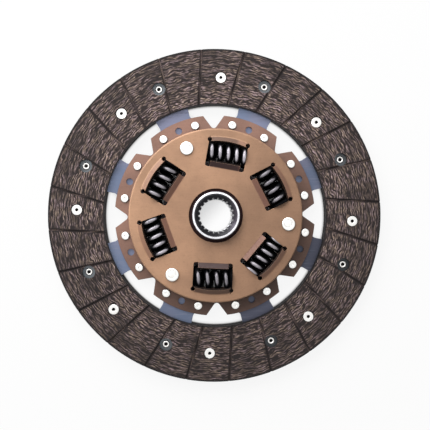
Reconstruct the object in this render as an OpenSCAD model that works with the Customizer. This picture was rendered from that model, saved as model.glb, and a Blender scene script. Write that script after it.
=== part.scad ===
// Sprung clutch disc, lying flat on its rear friction facing.
// +Z is the axis and points out of the retaining plate's side. The origin is on the axis, in the
// plane of the rear friction face. Angles run anticlockwise from +X, seen from the front.

/* [Friction facings] */
// Outer diameter of both friction facings
facing_od = 225; // [215:1:235]
// Inner diameter of both friction facings
facing_id = 150; // [146:1:156]
// Thickness of one facing
facing_t = 3.5; // [3:0.1:4.5]
// Number of wear grooves in a facing
groove_count = 24; // [12:1:30]
// Width of a groove
groove_w = 1.4; // [0.8:0.1:2]
// Depth of a groove
groove_depth = 0.9; // [0.3:0.1:1.5]
// Radius of the circle that the grooves run tangent to
groove_tangent_r = 15.4; // [0:0.1:30]
// Angle of the first groove's tangent
groove_phase = -4.1; // [-15:0.1:15]

/* [Facing rivets] */
// Radius of the facing rivets' circle
facing_rivet_circle_r = 93.45; // [88:0.05:100]
// Angle of the first rivet whose head is at the front
front_rivet_angle = 41.7; // [40:0.1:43]
// Angle of the first rivet whose head is at the rear
rear_rivet_angle = 23.1; // [21:0.1:24]
// Diameter of a facing rivet's head
facing_rivet_head_d = 7.4; // [6:0.1:8]
// Diameter of a facing rivet's shank
facing_rivet_shank_d = 4; // [3:0.1:4.5]
// Diameter of the rolled tail
facing_rivet_tail_d = 4.9; // [4.6:0.1:6]
// Diameter of the blind holes in the head and the tail
facing_rivet_hole_d = 2; // [1:0.1:2.4]
// Depth of the counterbore that sinks a head under the friction face
rivet_seat_depth = 2; // [1:0.1:2.4]
// Diameter of the clearance hole over a rolled tail
tail_clearance_d = 8.8; // [7:0.1:10]

/* [Cushion segments] */
// Number of cushion segments, which is also the number of lobes
segment_count = 8; // [8:1:8]
// Thickness of the cushion's spring steel
cushion_t = 0.8; // [0.6:0.1:1]
// Gap that the waves hold open between the facings
cushion_gap = 1.6; // [1.6:0.1:2]
// Half angle of a neck, seen between the lobes and the facings
neck_half_angle = 9.05; // [6:0.05:11]
// Half angle of the foot behind a lobe
foot_half_angle = 14.6; // [13:0.1:15]
// Outer radius of the foot
foot_outer_r = 67; // [66:0.1:67.5]
// Inner radius of the foot
foot_inner_r = 58.6; // [57:0.1:60]
// Fillet between the neck and the foot
neck_fillet_r = 3; // [2:0.5:3.5]
// Half angle of the paddle between the facings
paddle_half_angle = 21.6; // [18:0.1:22]

/* [Plates] */
// Thickness of the clutch plate and the retaining plate
plate_t = 2; // [1.8:0.1:2.5]
// Gap between the two plates, where the hub's flange turns
plate_gap = 8; // [8:0.1:9]
// Outer radius of the clutch plate's lobes
lobe_r = 67.9; // [67.6:0.1:69]
// Radius at the bottom of the notches between the lobes
notch_bottom_r = 59.3; // [58:0.1:60]
// Radius of a notch's rounded bottom
notch_tip_r = 2.2; // [1:0.1:3]
// Half angle between a notch's sides
notch_half_angle = 36; // [30:1:40]
// Outer radius of the retaining plate
retaining_r = 58.3; // [57:0.1:59]
// Rounding of the retaining plate's front rim
rim_round = 1; // [0.4:0.1:1.4]
// Bore radius of both plates
plate_bore_r = 18.1; // [17.9:0.1:18.5]
// Radius of the cushion rivets' circle
cushion_rivet_circle_r = 62.2; // [61.5:0.1:63]
// Angle between a lobe's centre and its cushion rivets
cushion_rivet_angle = 10.8; // [9:0.1:11]
// Head diameter of a cushion rivet
cushion_rivet_head_d = 5.5; // [4.6:0.1:6]
// Shank diameter of a cushion rivet
cushion_rivet_shank_d = 3.6; // [3:0.1:4]
// Diameter of the hole in the middle of each lobe
lobe_hole_d = 4.6; // [3:0.1:5]

/* [Spring windows] */
// Angle from a pair's centre to each of its windows
window_pair_angle = 26.4; // [25:0.1:27]
// Angle of the first pair's centre
pair_phase = 52.5; // [52.5:1:52.5]
// Radius of the spring axes at a window's centre
spring_centre_r = 42.7; // [42.5:0.1:43]
// Length of a window, which is also the springs' fitted length
window_length = 26.4; // [25:0.1:27]
// Angle that the lips rise from the plate
lip_angle = 30; // [20:1:36]
// Radius inside the bend at a lip's root
lip_bend_r = 1.5; // [1:0.1:2]
// Straight length of a lip past its bend
lip_straight = 3.3; // [2.5:0.1:3.4]
// Radius where the outer lip's bend starts
outer_lip_root_r = 53.5; // [53.3:0.1:54]
// Distance from the axis where the inner lip's bend starts
inner_lip_root_x = 31.6; // [31:0.1:31.8]
// Width of the outer lip
outer_lip_w = 25.2; // [22:0.1:25.4]
// Width of the inner lip
inner_lip_w = 20.2; // [16:0.1:21]
// Radius of the relief hole at each end of the outer lip
relief_r = 1.5; // [1:0.1:1.8]
// Distance of the relief holes from the window's middle line
relief_y = 12.9; // [12.4:0.1:13.2]
// Distance of the relief holes from the disc's axis, along the window's middle line
relief_x = 49.6; // [49:0.1:50.5]

/* [Damper springs] */
// Outer diameter of a damper spring
spring_od = 17; // [16:0.1:17]
// Wire diameter of a damper spring
spring_wire_d = 3.8; // [3:0.1:3.8]
// Turns of the springs with the closer pitch
close_spring_turns = 5.62; // [5:0.01:5.8]
// Turns of the springs with the wider pitch
wide_spring_turns = 5.25; // [4.8:0.01:5.6]
// Turn at which the closer springs first cross their top
close_spring_phase = 0.65; // [0:0.01:1]
// Turn at which the wider springs first cross their top
wide_spring_phase = 0.23; // [0:0.01:1]

/* [Hub] */
// Outer radius of the hub's boss
boss_r = 16; // [15.5:0.1:16]
// Height of the boss's rear face over the rear friction face
boss_rear_z = 1; // [0.5:0.1:2]
// Height of the boss's front face over the rear friction face
boss_front_z = 21.8; // [20:0.1:24]
// Number of spline teeth
spline_teeth = 22; // [20:1:24]
// Radius at the bottom of the spline's spaces
spline_major_r = 11.9; // [11.4:0.1:12]
// Radius at the spline teeth's tips
spline_minor_r = 10.6; // [10:0.1:10.8]
// Radius where the bore's chamfers meet the boss's faces
bore_chamfer_r = 14; // [13:0.1:14.4]
// Outer radius of the flange
flange_r = 56; // [55:0.1:57]
// Thickness of the flange
flange_t = 5; // [4:0.1:5]
// Turn of the hub each way before its flange meets the stop pins
hub_travel = 5; // [2:0.5:6]

/* [Stop pins] */
// Radius of the stop pins' circle
stop_pin_circle_r = 49; // [48.5:0.1:49.5]
// Diameter of a stop pin between the plates
stop_pin_d = 10; // [9:0.1:10]
// Diameter of a stop pin where it goes through the plates
stop_pin_neck_d = 7; // [6:0.1:7.5]
// Diameter of a stop pin's riveted head
stop_pin_head_d = 9; // [8.5:0.1:9.5]

/* [Hidden] */
$fn = 96;
eps = 0.02;
fit_gap = 0.1;

segment_step = 360 / segment_count;
mid_z = facing_t + cushion_gap / 2;
front_facing_z = facing_t + cushion_gap;
disc_front_z = 2 * facing_t + cushion_gap;
facing_r = facing_od / 2;
facing_bore_r = facing_id / 2;

clutch_plate_z = facing_t + cushion_t;
plate_gap_z = clutch_plate_z + plate_t;
retaining_plate_z = plate_gap_z + plate_gap;
retaining_front_z = retaining_plate_z + plate_t;
spring_z = plate_gap_z + plate_gap / 2;
flange_z = spring_z - flange_t / 2;
flange_front_z = flange_z + flange_t;

first_lobe_angle = segment_step / 2;
window_angles = [for (pair = [0:2]) for (side = [-1, 1]) pair_phase + 120 * pair + side * window_pair_angle];
stop_pin_angles = [for (pair = [0:2]) pair_phase + 60 + 120 * pair];
cushion_rivet_angles = [for (k = [0:segment_count - 1]) for (side = [-1, 1])
    first_lobe_angle + segment_step * k + side * cushion_rivet_angle];

// The paddle is centred between its two facing rivets
paddle_angle = (front_rivet_angle + rear_rivet_angle) / 2;
paddle_inner_r = facing_bore_r + 0.8;
paddle_outer_r = facing_r - 2.5;
wave_low = facing_t + cushion_t / 2;
wave_high = front_facing_z - cushion_t / 2;
// Middle line of the wave across a paddle: distance from the paddle's middle, height
wave_line = [
    [-60, wave_high], [-33, wave_high], [-27, wave_low], [-2, wave_low],
    [7, wave_high], [23, wave_high], [30, wave_low], [60, wave_low],
];

facing_rivet_head_t = 0.8;
facing_rivet_tail_t = 0.7;
facing_rivet_hole_depth = 1.3;
cushion_rivet_head_t = 1;
stop_pin_head_t = 1.2;

// Width of the cut that frees an outer lip's sides past its relief holes
lip_slit = 0.15;
slot_tip_r = (window_length - inner_lip_w) / 4;
slot_y = (window_length + inner_lip_w) / 4;
spring_mean_r = (spring_od - spring_wire_d) / 2;
spring_wire_r = spring_wire_d / 2;
spring_sides = 8;
spring_steps = 16;
closed_turns = 0.9;
closed_pitch = spring_wire_d + 0.15;
// The ends are ground flat over three quarters of a turn
ground_start = spring_wire_r - 0.75 * closed_pitch;

spline_top = 0.52;
spline_root = 0.34;
boss_edge = 0.4;
flange_window_gap = 0.15;
flange_radial_gap = 0.5;
corner_relief_r = 1.1;
pin_clearance = 0.4;
pin_notch_inner_x = stop_pin_circle_r - stop_pin_d / 2 - pin_clearance;
pin_notch_half_w = stop_pin_circle_r * sin(hub_travel) + stop_pin_d / 2 + pin_clearance;
pin_notch_corner_r = 2.5;

washer_inner_r = boss_r + fit_gap;
washer_collar_r = plate_bore_r - fit_gap;
washer_outer_r = 27;
washer_t = flange_z - plate_gap_z;
cone_washer_t = 0.4;
cone_washer_height = 0.6;

// Copies at given angles, each moved out to a radius
module around(angles, radius = 0) {
    for (a = angles) rotate(a) translate([radius, 0, 0]) children();
}

// Ring between two radii, cut to the wedge between two angles
module ring_sector(inner_r, outer_r, from, to) {
    reach = 2 * outer_r;
    middle = (from + to) / 2;
    intersection() {
        difference() {
            circle(r = outer_r);
            circle(r = inner_r);
        }
        polygon([
            [0, 0],
            reach * [cos(from), sin(from)],
            reach * [cos(middle), sin(middle)],
            reach * [cos(to), sin(to)],
        ]);
    }
}

// Turns a front facing or its rivets over, so that the same part serves at the rear
module turn_over() {
    translate([0, 0, mid_z])
        rotate(a = 180, v = [cos(paddle_angle), sin(paddle_angle), 0])
            translate([0, 0, -mid_z]) children();
}

// One friction facing in its front place
module friction_facing() {
    rivet_angles = [for (k = [0:segment_count - 1]) front_rivet_angle + segment_step * k];
    tail_angles = [for (k = [0:segment_count - 1]) rear_rivet_angle + segment_step * k];
    color("#574c4c") difference() {
        translate([0, 0, front_facing_z]) cylinder(h = facing_t, r = facing_r, $fn = 180);
        translate([0, 0, front_facing_z - 1]) cylinder(h = facing_t + 2, r = facing_bore_r, $fn = 180);
        for (k = [0:groove_count - 1]) rotate(groove_phase + 360 / groove_count * k)
            translate([facing_bore_r - 6, groove_tangent_r - groove_w / 2, disc_front_z - groove_depth])
                cube([facing_r - facing_bore_r + 12, groove_w, facing_t]);
        around(rivet_angles, facing_rivet_circle_r) {
            translate([0, 0, front_facing_z - 1]) cylinder(h = facing_t, d = facing_rivet_shank_d + 2 * fit_gap);
            translate([0, 0, disc_front_z - rivet_seat_depth])
                cylinder(h = facing_t, d = facing_rivet_head_d + 0.6);
        }
        around(tail_angles, facing_rivet_circle_r)
            translate([0, 0, front_facing_z - 1]) cylinder(h = facing_t + 2, d = tail_clearance_d);
    }
}

// One ring of eight facing rivets, heads at the front and tails rolled behind the cushions
module facing_rivet_ring() {
    head_z = disc_front_z - rivet_seat_depth;
    tail_z = wave_high - cushion_t / 2;
    shank_r = facing_rivet_shank_d / 2;
    hole_r = facing_rivet_hole_d / 2;
    head_top = head_z + facing_rivet_head_t;
    tail_end = tail_z - facing_rivet_tail_t;
    angles = [for (k = [0:segment_count - 1]) front_rivet_angle + segment_step * k];
    color("#e6e2da") around(angles, facing_rivet_circle_r) rotate_extrude($fn = 32) polygon([
        [0, tail_end + facing_rivet_hole_depth], [hole_r, tail_end + facing_rivet_hole_depth],
        [hole_r, tail_end + 0.2], [hole_r + 0.4, tail_end],
        [facing_rivet_tail_d / 2 - 0.3, tail_end], [facing_rivet_tail_d / 2, tail_z - 0.25],
        [facing_rivet_tail_d / 2, tail_z], [shank_r, tail_z],
        [shank_r, head_z], [facing_rivet_head_d / 2, head_z],
        [facing_rivet_head_d / 2, head_top - 0.35], [facing_rivet_head_d / 2 - 0.5, head_top],
        [hole_r + 0.25, head_top], [hole_r, head_top - 0.25],
        [hole_r, head_top - facing_rivet_hole_depth], [0, head_top - facing_rivet_hole_depth],
    ]);
}

// Flat shape of a cushion's foot and neck, about the lobe that it is riveted to
module foot_and_neck() {
    fillet_centre_r = foot_outer_r + neck_fillet_r;
    fillet_turn = asin(neck_fillet_r / fillet_centre_r);
    fillet_top_r = fillet_centre_r * cos(fillet_turn);
    rotate(first_lobe_angle) {
        ring_sector(foot_inner_r, foot_outer_r, -foot_half_angle, foot_half_angle);
        ring_sector(foot_outer_r - 1, paddle_inner_r + 0.6, -neck_half_angle, neck_half_angle);
        for (side = [0, 1]) mirror([0, side, 0]) difference() {
            ring_sector(foot_outer_r - 1, fillet_top_r, neck_half_angle - 0.5, neck_half_angle + fillet_turn);
            rotate(neck_half_angle + fillet_turn) translate([fillet_centre_r, 0]) circle(r = neck_fillet_r);
        }
    }
}

// Wave of a paddle as a bar of constant thickness along the paddle's middle radius
module wave_bar() {
    upper = [for (p = wave_line) [p[0], p[1] + cushion_t / 2]];
    lower = [for (k = [len(wave_line) - 1:-1:0]) [wave_line[k][0], wave_line[k][1] - cushion_t / 2]];
    rotate(paddle_angle) translate([paddle_inner_r - 12, 0, 0]) rotate([90, 0, 90])
        linear_extrude(height = paddle_outer_r - paddle_inner_r + 24) polygon(concat(upper, lower));
}

// Cushion segment number k, counted anticlockwise from 1
module cushion_segment(k) {
    color("#7d8296") rotate(segment_step * (k - 1)) difference() {
        union() {
            translate([0, 0, facing_t]) linear_extrude(height = cushion_t) foot_and_neck();
            intersection() {
                wave_bar();
                translate([0, 0, facing_t - 1]) linear_extrude(height = cushion_gap + 2)
                    ring_sector(paddle_inner_r, paddle_outer_r,
                        paddle_angle - paddle_half_angle, paddle_angle + paddle_half_angle);
            }
        }
        around([front_rivet_angle, rear_rivet_angle], facing_rivet_circle_r)
            translate([0, 0, facing_t - 1]) cylinder(h = cushion_gap + 2, d = facing_rivet_shank_d + fit_gap);
        for (side = [-1, 1]) rotate(first_lobe_angle + side * cushion_rivet_angle)
            translate([cushion_rivet_circle_r, 0, facing_t - 1])
                cylinder(h = cushion_gap + 2, d = cushion_rivet_shank_d + fit_gap);
    }
}

// Sixteen solid rivets that hold the cushion segments to the clutch plate
module cushion_rivets() {
    head_r = cushion_rivet_head_d / 2;
    shank_r = cushion_rivet_shank_d / 2;
    low = facing_t - cushion_rivet_head_t;
    high = plate_gap_z + cushion_rivet_head_t;
    color("#ece8e2") around(cushion_rivet_angles, cushion_rivet_circle_r) rotate_extrude($fn = 32) polygon([
        [0, low], [head_r - 0.6, low], [head_r, low + 0.45], [head_r, facing_t],
        [shank_r, facing_t], [shank_r, plate_gap_z],
        [head_r, plate_gap_z], [head_r, high - 0.45], [head_r - 0.6, high], [0, high],
    ]);
}

// Section of a lip that rises from a plate: distance from where its bend starts, height over the plate's front
function lip_section() = let(
    outside_r = lip_bend_r + plate_t,
    bend = [for (a = [0:lip_angle / 3:lip_angle + 0.01]) a],
    inside = [for (a = bend) [lip_bend_r * sin(a), lip_bend_r * (1 - cos(a))]],
    outside = [for (k = [len(bend) - 1:-1:0])
        [outside_r * sin(bend[k]), lip_bend_r - outside_r * cos(bend[k])]],
    along = lip_straight * [cos(lip_angle), sin(lip_angle)]
) concat(
    [[-0.5, 0]], inside,
    [inside[len(bend) - 1] + along, outside[0] + along],
    outside, [[-0.5, -plate_t]]
);

// Opening punched for one spring window, with slots beside the inner lip and relief holes at the outer one
module window_opening() {
    inner_x = inner_lip_root_x + slot_tip_r;
    slit_w = outer_lip_w + 2 * lip_slit;
    translate([inner_x, -window_length / 2]) square([relief_x - inner_x, window_length]);
    intersection() {
        circle(r = outer_lip_root_r + lip_slit);
        translate([inner_x, -slit_w / 2]) square([outer_lip_root_r, slit_w]);
    }
    translate([inner_lip_root_x, -slot_y]) square([2 * slot_tip_r, 2 * slot_y]);
    for (side = [-1, 1]) {
        translate([inner_lip_root_x + slot_tip_r, side * slot_y]) circle(r = slot_tip_r);
        translate([relief_x, side * relief_y]) circle(r = relief_r);
    }
}

// Both lips of one window, standing on a plate whose front face is at z = 0
module window_lips() {
    difference() {
        intersection() {
            rotate_extrude($fn = 180) polygon([for (p = lip_section()) [outer_lip_root_r - p[0], p[1]]]);
            translate([0, -outer_lip_w / 2, -2 * plate_t]) cube([60, outer_lip_w, 8 * plate_t]);
        }
        for (side = [-1, 1]) translate([relief_x, side * relief_y, -2 * plate_t])
            cylinder(h = 8 * plate_t, r = relief_r);
    }
    rotate([90, 0, 0]) linear_extrude(height = inner_lip_w, center = true)
        polygon([for (p = lip_section()) [inner_lip_root_x + p[0], p[1]]]);
}

// One V notch between two lobes, on the +X side
module lobe_notch() {
    centre_x = notch_bottom_r + notch_tip_r;
    touch = [centre_x - notch_tip_r * sin(notch_half_angle), notch_tip_r * cos(notch_half_angle)];
    reach = lobe_r + 4 - touch[0];
    mouth = [touch[0] + reach, touch[1] + reach * tan(notch_half_angle)];
    translate([centre_x, 0]) circle(r = notch_tip_r, $fn = 32);
    polygon([touch, mouth, [mouth[0], -mouth[1]], [touch[0], -touch[1]]]);
}

// Rear plate, with eight lobes for the cushions and six spring windows
module clutch_plate() {
    notch_angles = [for (k = [0:segment_count - 1]) segment_step * k];
    lobe_angles = [for (a = notch_angles) a + first_lobe_angle];
    color("#8d6a5b") {
        difference() {
            translate([0, 0, clutch_plate_z]) cylinder(h = plate_t, r = lobe_r, $fn = 180);
            translate([0, 0, clutch_plate_z - 1]) {
                cylinder(h = plate_t + 2, r = plate_bore_r);
                linear_extrude(height = plate_t + 2) {
                    around(notch_angles) lobe_notch();
                    around(window_angles) window_opening();
                }
                around(lobe_angles, cushion_rivet_circle_r) cylinder(h = plate_t + 2, d = lobe_hole_d);
                around(cushion_rivet_angles, cushion_rivet_circle_r)
                    cylinder(h = plate_t + 2, d = cushion_rivet_shank_d + fit_gap);
                around(stop_pin_angles, stop_pin_circle_r)
                    cylinder(h = plate_t + 2, d = stop_pin_neck_d + fit_gap);
            }
        }
        around(window_angles) translate([0, 0, clutch_plate_z]) mirror([0, 0, 1]) window_lips();
    }
}

// Front plate, round, with six spring windows and a rolled rim
module retaining_plate() {
    round_z = plate_t - rim_round;
    rim = [for (a = [0:30:90]) [retaining_r - rim_round * (1 - cos(a)), round_z + rim_round * sin(a)]];
    color("#b08a71") {
        difference() {
            translate([0, 0, retaining_plate_z]) rotate_extrude($fn = 180)
                polygon(concat([[plate_bore_r, 0], [retaining_r, 0]], rim, [[plate_bore_r, plate_t]]));
            translate([0, 0, retaining_plate_z - 1]) {
                linear_extrude(height = plate_t + 2) around(window_angles) window_opening();
                around(stop_pin_angles, stop_pin_circle_r)
                    cylinder(h = plate_t + 2, d = stop_pin_neck_d + fit_gap);
            }
        }
        around(window_angles) translate([0, 0, retaining_front_z]) window_lips();
    }
}

// Window in the hub's flange, a little larger than its spring, with relieved corners
module flange_window() {
    half_l = window_length / 2 + flange_window_gap;
    inner_x = spring_centre_r - spring_od / 2 - flange_radial_gap;
    outer_x = spring_centre_r + spring_od / 2 + flange_radial_gap;
    translate([inner_x, -half_l]) square([outer_x - inner_x, 2 * half_l]);
    for (x = [inner_x + 0.5, outer_x - 0.5]) for (side = [-1, 1])
        translate([x, side * (half_l - 0.5)]) circle(r = corner_relief_r, $fn = 32);
}

// Notch in the flange's rim that a stop pin travels in
module pin_notch() {
    inner = pin_notch_inner_x + pin_notch_corner_r;
    half = pin_notch_half_w - pin_notch_corner_r;
    translate([inner, -pin_notch_half_w]) square([flange_r - inner + 2, 2 * pin_notch_half_w]);
    translate([pin_notch_inner_x, -half]) square([pin_notch_corner_r + 1, 2 * half]);
    for (side = [-1, 1]) translate([inner, side * half]) circle(r = pin_notch_corner_r);
}

// Splined bore in cross-section: the tips' circle and one tapered space for each tooth
module spline_section() {
    pitch = 360 / spline_teeth;
    circle(r = spline_minor_r);
    around([for (k = [0:spline_teeth - 1]) pitch * k]) polygon([
        [spline_minor_r - 1, -spline_minor_r * sin(pitch * spline_top / 2)],
        [spline_major_r, -spline_major_r * sin(pitch * spline_root / 2)],
        [spline_major_r, spline_major_r * sin(pitch * spline_root / 2)],
        [spline_minor_r - 1, spline_minor_r * sin(pitch * spline_top / 2)],
    ]);
}

// Hub: boss, flange and splined bore in one forging
module hub() {
    chamfer_h = bore_chamfer_r - spline_minor_r + 1;
    web_r = boss_r + 1.5;
    color("#9a9aa2") difference() {
        rotate_extrude($fn = 180) polygon([
            [0, boss_rear_z], [boss_r - boss_edge, boss_rear_z], [boss_r, boss_rear_z + boss_edge],
            [boss_r, flange_z], [flange_r - 0.4, flange_z], [flange_r, flange_z + 0.4],
            [flange_r, flange_front_z - 0.4], [flange_r - 0.4, flange_front_z], [boss_r, flange_front_z],
            [boss_r, boss_front_z - boss_edge], [boss_r - boss_edge, boss_front_z], [0, boss_front_z],
        ]);
        translate([0, 0, boss_rear_z - 1]) linear_extrude(height = boss_front_z - boss_rear_z + 2)
            spline_section();
        translate([0, 0, boss_front_z - chamfer_h])
            cylinder(h = chamfer_h + eps, r1 = bore_chamfer_r - chamfer_h, r2 = bore_chamfer_r + eps);
        translate([0, 0, boss_rear_z - eps])
            cylinder(h = chamfer_h + eps, r1 = bore_chamfer_r + eps, r2 = bore_chamfer_r - chamfer_h);
        translate([0, 0, flange_z - 1]) linear_extrude(height = flange_t + 2) {
            around(window_angles) flange_window();
            around(stop_pin_angles) pin_notch();
        }
    }
}

// Height of the wire's middle over the nearer end of a spring, after some turns from that end
function coil_rise(turn, turns) = let(
    half = window_length / 2,
    closed = min(turn, closed_turns),
    open_pitch = (half - ground_start - closed_pitch * closed_turns) / (turns / 2 - closed_turns)
) ground_start + closed_pitch * closed + open_pitch * max(0, turn - closed_turns);

// One section of the wire, ground where it would pass the spring's end: out from the coil's axis, along it
function wire_section(turn, turns) = let(
    first_half = turn < turns / 2,
    rise = coil_rise(first_half ? turn : turns - turn, turns),
    full = 90 - 180 / spring_sides,
    dip = asin(max(-1, min(sin(full), rise / spring_wire_r))),
    half = window_length / 2
) [for (k = [0:spring_sides - 1]) let(
    place = first_half ? k : (k + spring_sides / 2) % spring_sides,
    a = -dip + place * (180 + 2 * dip) / (spring_sides - 1),
    out = spring_mean_r + (first_half ? 1 : -1) * spring_wire_r * cos(a),
    along = rise + spring_wire_r * sin(a)
) [out, first_half ? along - half : half - along]];

// Right-hand helical spring along Y, centred on the origin
module coil_spring(turns, phase) {
    rings = ceil(turns * spring_steps);
    n = spring_sides;
    points = [for (i = [0:rings]) let(turn = turns * i / rings, a = 360 * (turn - phase))
        for (p = wire_section(turn, turns)) [p[0] * sin(a), p[1], p[0] * cos(a)]];
    sides = [for (i = [0:rings - 1]) for (k = [0:n - 1]) let(a = i * n + k, b = i * n + (k + 1) % n)
        each [[a, b, a + n], [b, b + n, a + n]]];
    caps = [[for (k = [n - 1:-1:0]) k], [for (k = [0:n - 1]) rings * n + k]];
    polyhedron(points = points, faces = concat(sides, caps), convexity = 8);
}

// Damper spring number k: the two springs of a pair differ in pitch
module damper_spring(k) {
    close = k % 2 == 0;
    color("#16171a") rotate(window_angles[k - 1]) translate([spring_centre_r, 0, spring_z])
        coil_spring(close ? close_spring_turns : wide_spring_turns,
            close ? close_spring_phase : wide_spring_phase);
}

// Stop pin number k: shouldered spacer with a riveted head on each plate
module stop_pin(k) {
    neck_r = stop_pin_neck_d / 2;
    body_r = stop_pin_d / 2;
    head_r = stop_pin_head_d / 2;
    low = clutch_plate_z - stop_pin_head_t;
    high = retaining_front_z + stop_pin_head_t;
    color("#efebe4") rotate(stop_pin_angles[k - 1]) translate([stop_pin_circle_r, 0, 0]) rotate_extrude() polygon([
        [0, low], [head_r - 0.9, low], [head_r, low + 0.7], [head_r, clutch_plate_z],
        [neck_r, clutch_plate_z], [neck_r, plate_gap_z], [body_r, plate_gap_z],
        [body_r, retaining_plate_z], [neck_r, retaining_plate_z], [neck_r, retaining_front_z],
        [head_r, retaining_front_z], [head_r, high - 0.7], [head_r - 0.9, high], [0, high],
    ]);
}

// Friction washer with a collar that centres it in the plate's bore, for the retaining plate's side
module front_friction_washer() {
    color("#2c2622") rotate_extrude() polygon([
        [washer_inner_r, flange_front_z], [washer_outer_r, flange_front_z],
        [washer_outer_r, retaining_plate_z], [washer_collar_r, retaining_plate_z],
        [washer_collar_r, retaining_front_z - 0.8], [washer_inner_r, retaining_front_z - 0.8],
    ]);
}

// Friction washer with a collar, pressed on the flange by the cone spring
module rear_friction_washer() {
    low = flange_z - washer_t + cone_washer_height;
    color("#2c2622") rotate_extrude() polygon([
        [washer_inner_r, flange_z], [washer_outer_r, flange_z], [washer_outer_r, low],
        [washer_collar_r, low], [washer_collar_r, clutch_plate_z + 0.4], [washer_inner_r, clutch_plate_z + 0.4],
    ]);
}

// Dished spring washer between the clutch plate and the rear friction washer
module cone_spring_washer() {
    high = plate_gap_z + cone_washer_height;
    inner_r = washer_collar_r + 0.6;
    color("#5d6270") rotate_extrude() polygon([
        [inner_r, high], [inner_r, high - cone_washer_t],
        [washer_outer_r - 0.5, plate_gap_z], [washer_outer_r - 0.5, plate_gap_z + cone_washer_t],
    ]);
}

friction_facing();  // front_facing
turn_over() friction_facing();  // rear_facing
for (k = [1:segment_count]) cushion_segment(k);
facing_rivet_ring();  // front_facing_rivets
turn_over() facing_rivet_ring();  // rear_facing_rivets
cushion_rivets();
clutch_plate();
retaining_plate();
hub();
for (k = [1:6]) damper_spring(k);
for (k = [1:3]) stop_pin(k);
front_friction_washer();
rear_friction_washer();
cone_spring_washer();
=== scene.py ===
"""Looks of a sprung clutch disc, laid out as an add-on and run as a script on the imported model."""

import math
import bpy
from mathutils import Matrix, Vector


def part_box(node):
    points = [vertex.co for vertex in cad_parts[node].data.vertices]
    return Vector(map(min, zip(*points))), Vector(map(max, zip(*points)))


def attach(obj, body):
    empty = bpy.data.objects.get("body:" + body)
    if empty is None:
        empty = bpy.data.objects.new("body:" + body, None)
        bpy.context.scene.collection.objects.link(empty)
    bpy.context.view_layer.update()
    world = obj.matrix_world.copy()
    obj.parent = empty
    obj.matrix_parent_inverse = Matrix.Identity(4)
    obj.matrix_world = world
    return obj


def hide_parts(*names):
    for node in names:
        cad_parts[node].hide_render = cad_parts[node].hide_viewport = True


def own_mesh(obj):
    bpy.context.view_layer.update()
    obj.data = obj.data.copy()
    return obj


bl_info = {
    "name": "Clutch disc looks",
    "version": (1, 0, 0),
    "blender": (4, 5, 0),
    "location": "3D View > Sidebar > Clutch disc",
    "description": "Springs, rivets, pins, finishes and a plain studio for a packed clutch disc",
    "category": "Object",
}

import bmesh
import bpy
import numpy as np
from bpy.props import FloatProperty, FloatVectorProperty, IntProperty, PointerProperty
from mathutils import Matrix, Vector

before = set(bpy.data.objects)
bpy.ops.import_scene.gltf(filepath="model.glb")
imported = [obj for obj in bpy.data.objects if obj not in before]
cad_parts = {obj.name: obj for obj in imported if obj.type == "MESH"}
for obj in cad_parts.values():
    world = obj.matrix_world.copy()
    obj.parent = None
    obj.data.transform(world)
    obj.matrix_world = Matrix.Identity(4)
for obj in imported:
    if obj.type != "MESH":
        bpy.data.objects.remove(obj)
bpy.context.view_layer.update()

MM = 0.001
FRONT_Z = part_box("front_facing")[1].z
MID_Z = FRONT_Z / 2

# Facings: the grooves are tangents of a circle, and the rear facing is the front one turned over
FACING_BORE = 75 * MM
FACING_MIDDLE = 93.75 * MM
FACING_OUTSIDE = 112.5 * MM
GROOVE_PITCH = math.radians(15)
GROOVE_START = math.radians(-4.1)
GROOVE_CIRCLE = 15.4 * MM
REAR_FACING_TURN = math.radians(64.8)

# Rivets and pins: circle, and first angle or all angles in degrees; like rivets come in eights
EIGHTHS = 45 * np.arange(8)
RIVET_CIRCLE = 93.45 * MM
FRONT_RIVETS_FROM = 41.7
REAR_RIVETS_FROM = 23.1
CUSHION_RIVET_CIRCLE = 62.2 * MM
LOBES_FROM = 22.5
CUSHION_RIVETS_ASIDE = 10.8
PIN_CIRCLE = 49.0 * MM
PIN_ANGLES = (112.5, 232.5, 352.5)

# A stop pin is the same from both ends: this is its foot's height plus its top's, in millimetres
PIN_HEIGHTS_ADDED = 20.6

# Springs: place in the windows, how bright the painted highlight on each one's crowns is, and the turn added
# to its phase
SPRING_CIRCLE = 42.7 * MM
SPRING_Z = 10.3 * MM
WINDOW_LENGTH = 26.4 * MM
WINDOW_ANGLES = (26.1, 78.9, 146.1, 198.9, 266.1, 318.9)
SPRING_PAINTED_HIGHLIGHT = (0.46, 0.9, 0.56, 0.7, 0.45, 0.55)
SPRING_TURNED = (0, 0, 0, 0.08, -0.145, -0.26)
WIDE_CROWNS_REACH = 11.6 * MM

# How light each cushion segment is beside the common colour: painted light and shade, lighter at the top and
# left, darker at the lower right
CUSHION_PAINTED_SHADING = (1.0, 1.45, 1.4, 1.3, 1.4, 1.2, 0.53, 0.4)

# The hub's bright ring, between the painted shade inside and outside it, is centred this far off the axis,
# in x and y
HUB_RING_CENTRE = (-0.14 * MM, 0.3 * MM)

# Faces that meet at a larger angle keep a sharp edge between them
SHARP_ANGLE = math.radians(38)


def paint(red, green, blue):
    """Linear colour of a screen colour given in steps of 0 to 255."""
    c = np.array([red, green, blue]) / 255
    return tuple(float(v) for v in np.where(c <= 0.04045, c / 12.92, ((c + 0.055) / 1.055) ** 2.4))


def colour_property(name, description, default):
    return FloatVectorProperty(
        name=name, description=description, default=default, subtype="COLOR", size=3, min=0, max=1
    )


def length_property(name, description, millimetres):
    return FloatProperty(
        name=name, description=description, default=millimetres * MM, min=0,
        unit="LENGTH", subtype="DISTANCE",
    )


def angle_property(name, description, degrees):
    return FloatProperty(
        name=name, description=description, default=math.radians(degrees), unit="ROTATION", subtype="ANGLE",
    )


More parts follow.
